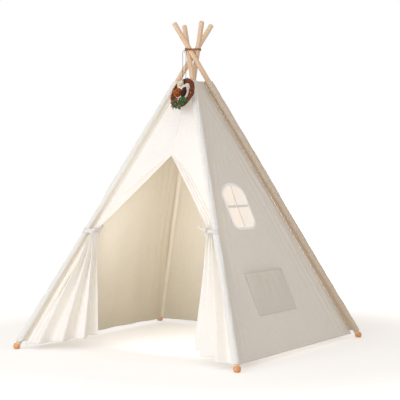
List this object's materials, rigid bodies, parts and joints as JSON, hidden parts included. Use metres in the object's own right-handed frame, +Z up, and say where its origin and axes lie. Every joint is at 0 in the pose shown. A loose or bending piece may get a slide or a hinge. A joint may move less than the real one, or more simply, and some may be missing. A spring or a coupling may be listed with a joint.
{
  "type": "play tent",
  "caption": "Pyramid play tent of crossed round poles in a sewn cotton cover, with a tied-back door, a window, an outer pocket and a small wreath.",
  "frame": {"origin": "on the floor, in the middle of the four feet, under the crossing of the poles", "axes": "+Z up; -Y towards the door side; +X towards the wall with the window and the pocket"},
  "size_m": [1.2224, 1.2224, 1.5333],
  "materials": {
    "pine": "smooth sanded, clear",
    "ferrule_metal": "satin",
    "cap_wood": "varnished",
    "cotton_canvas": "plain weave",
    "sleeve_canvas": "plain weave",
    "binding_cotton": "folded tape",
    "voile": "sheer weave",
    "jute_twine": "twisted",
    "twig": "rough bark",
    "petal": "matt shaving",
    "cone_copper": "dry scales",
    "cone_dark": "dry scales",
    "holly_leaf": "waxy",
    "berry": "gloss"
  },
  "bodies": {
    "left_side": {"pole_front_left_lower": "pine", "pole_front_left_middle": "pine", "pole_front_left_top": "pine", "ferrule_front_left_lower": "ferrule_metal", "ferrule_front_left_upper": "ferrule_metal", "foot_cap_front_left": "cap_wood", "sleeve_front_left": "sleeve_canvas", "pole_back_left_lower": "pine", "pole_back_left_middle": "pine", "pole_back_left_top": "pine", "ferrule_back_left_lower": "ferrule_metal", "ferrule_back_left_upper": "ferrule_metal", "foot_cap_back_left": "cap_wood", "sleeve_back_left": "sleeve_canvas", "left_panel": "cotton_canvas", "back_panel": "cotton_canvas", "front_left_curtain": "cotton_canvas", "tie_strap_left": "binding_cotton", "tie_knot_left": "binding_cotton", "pole_lashing": "jute_twine"},
    "right_side": {"pole_front_right_lower": "pine", "pole_front_right_middle": "pine", "pole_front_right_top": "pine", "ferrule_front_right_lower": "ferrule_metal", "ferrule_front_right_upper": "ferrule_metal", "foot_cap_front_right": "cap_wood", "sleeve_front_right": "sleeve_canvas", "pole_back_right_lower": "pine", "pole_back_right_middle": "pine", "pole_back_right_top": "pine", "ferrule_back_right_lower": "ferrule_metal", "ferrule_back_right_upper": "ferrule_metal", "foot_cap_back_right": "cap_wood", "sleeve_back_right": "sleeve_canvas", "right_panel": "cotton_canvas", "window_binding": "binding_cotton", "window_muntins": "cotton_canvas", "window_voile": "voile", "pocket": "cotton_canvas", "front_right_curtain": "cotton_canvas", "tie_strap_right": "binding_cotton", "tie_knot_right": "binding_cotton"},
    "twine": {"wreath_twine": "jute_twine"},
    "wreath": {"wreath_ring": "twig", "wreath_flower": "petal", "wreath_cone_copper": "cone_copper", "wreath_cone_dark": "cone_dark", "wreath_leaves": "holly_leaf", "berry_1": "berry", "berry_2": "berry", "berry_3": "berry", "berry_4": "berry", "berry_5": "berry", "berry_6": "berry", "berry_7": "berry", "berry_8": "berry"}
  },
  "joints": [
    {"name": "fold", "type": "hinge", "parent": "left_side", "child": "right_side", "pos_m": [0, 0, 1.372], "axis": [0, 1, 0], "range_deg": [0, 22], "deforming": ["front_left_curtain", "front_right_curtain", "left_panel", "back_panel", "right_panel", "sleeve_front_left", "sleeve_front_right", "sleeve_back_right", "sleeve_back_left", "tie_strap_left", "tie_strap_right", "tie_knot_left", "tie_knot_right", "pole_lashing"]},
    {"name": "wreath_swing", "type": "hinge", "parent": "left_side", "child": "twine", "pos_m": [-0.0443, -0.003, 1.405], "axis": [-0.6569, 0.7539, 0], "range_deg": [0, 30], "deforming": ["wreath_twine"]},
    {"name": "wreath_sway", "type": "hinge", "parent": "twine", "child": "wreath", "pos_m": [0.0152, -0.1033, 1.2486], "axis": [-0.2743, -0.8782, 0.3919], "range_deg": [-12, 12], "deforming": ["wreath_twine"]}
  ]
}
